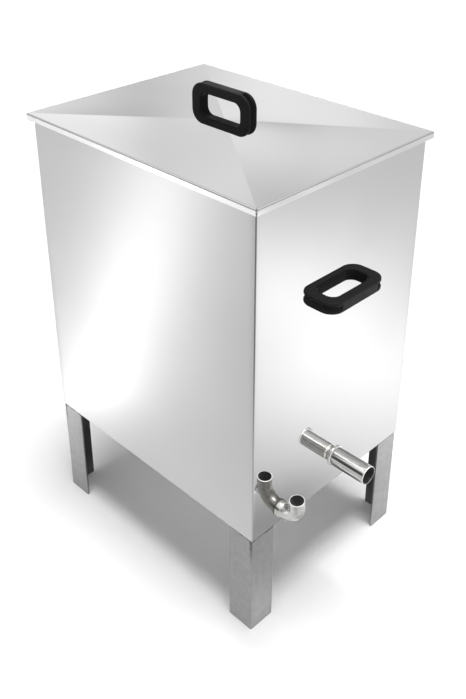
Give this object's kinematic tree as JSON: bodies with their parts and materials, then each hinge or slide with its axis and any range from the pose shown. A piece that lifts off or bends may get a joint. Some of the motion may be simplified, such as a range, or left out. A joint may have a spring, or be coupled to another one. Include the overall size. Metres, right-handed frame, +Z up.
{
  "type": "wax melting boiler",
  "caption": "Tall steel wax melting boiler on angle legs, with a lift-off lid, lift-out comb basket, wax outlet pipe, swivelling water filler elbow and black ring handles.",
  "frame": {"origin": "on the floor, under the middle of the whole object's box", "axes": "+Z up, +X along the tank towards the end with the pipes, -Y towards the plain long side nearest the filler"},
  "size_m": [0.691, 0.398, 0.85],
  "materials": {
    "tank_steel": "bright polished sheet",
    "leg_steel": "dull rolled angle",
    "tube_steel": "bright drawn tube",
    "basket_steel": "satin perforated sheet and wire",
    "fastener_steel": "plain bright",
    "handle_plastic": "fine moulded grain",
    "seal_rubber": "matt"
  },
  "bodies": {
    "tank": {"tank_shell": "tank_steel", "tank_floor": "tank_steel", "leg_front_left": "leg_steel", "leg_front_right": "leg_steel", "leg_back_left": "leg_steel", "leg_back_right": "leg_steel", "wax_pan": "tank_steel", "steam_riser_left": "tube_steel", "steam_riser_right": "tube_steel", "steam_cap_left": "tank_steel", "steam_cap_right": "tank_steel", "basket_rail_front": "basket_steel", "basket_rail_back": "basket_steel", "wax_outlet_pipe": "tube_steel", "filler_stub": "tube_steel", "filler_inner_elbow": "tube_steel", "filler_seal": "seal_rubber", "handle_left": "handle_plastic", "handle_right": "handle_plastic", "handle_bolts_left": "fastener_steel", "handle_bolts_right": "fastener_steel", "handle_washers_left": "fastener_steel", "handle_washers_right": "fastener_steel"},
    "basket": {"basket_front": "basket_steel", "basket_back": "basket_steel", "basket_left": "basket_steel", "basket_right": "basket_steel", "basket_floor": "basket_steel", "basket_rim": "basket_steel", "basket_post_front_left": "basket_steel", "basket_post_front_right": "basket_steel", "basket_post_back_left": "basket_steel", "basket_post_back_right": "basket_steel", "bail_lugs_left": "basket_steel", "bail_lugs_right": "basket_steel"},
    "lid": {"lid_panel": "tank_steel", "lid_handle": "handle_plastic", "lid_handle_bolts": "fastener_steel", "lid_handle_washers": "fastener_steel"},
    "outlet_sleeve": {"wax_outlet_sleeve": "tube_steel"},
    "swivel_elbow": {"filler_outer_elbow": "tube_steel"},
    "bail_left": {"bail_left": "basket_steel"},
    "bail_right": {"bail_right": "basket_steel"}
  },
  "joints": [
    {"name": "basket_lift", "type": "slide", "parent": "tank", "child": "basket", "axis": [0, 0, 1], "range_m": [0, 0.42]},
    {"name": "lid_lift", "type": "slide", "parent": "basket", "child": "lid", "axis": [0, 0, 1], "range_m": [0, 0.3]},
    {"name": "sleeve_pull", "type": "slide", "parent": "tank", "child": "outlet_sleeve", "axis": [1, 0, 0], "range_m": [0, 0.04]},
    {"name": "filler_swivel", "type": "hinge", "parent": "tank", "child": "swivel_elbow", "pos_m": [0.2725, -0.177, 0.294], "axis": [1, 0, 0], "continuous": true},
    {"name": "bail_left_swing", "type": "hinge", "parent": "basket", "child": "bail_left", "pos_m": [-0.2523, 0, 0.712], "axis": [0, -1, 0], "range_deg": [0, 180]},
    {"name": "bail_right_swing", "type": "hinge", "parent": "basket", "child": "bail_right", "pos_m": [0.1933, 0, 0.712], "axis": [0, 1, 0], "range_deg": [0, 180]}
  ]
}
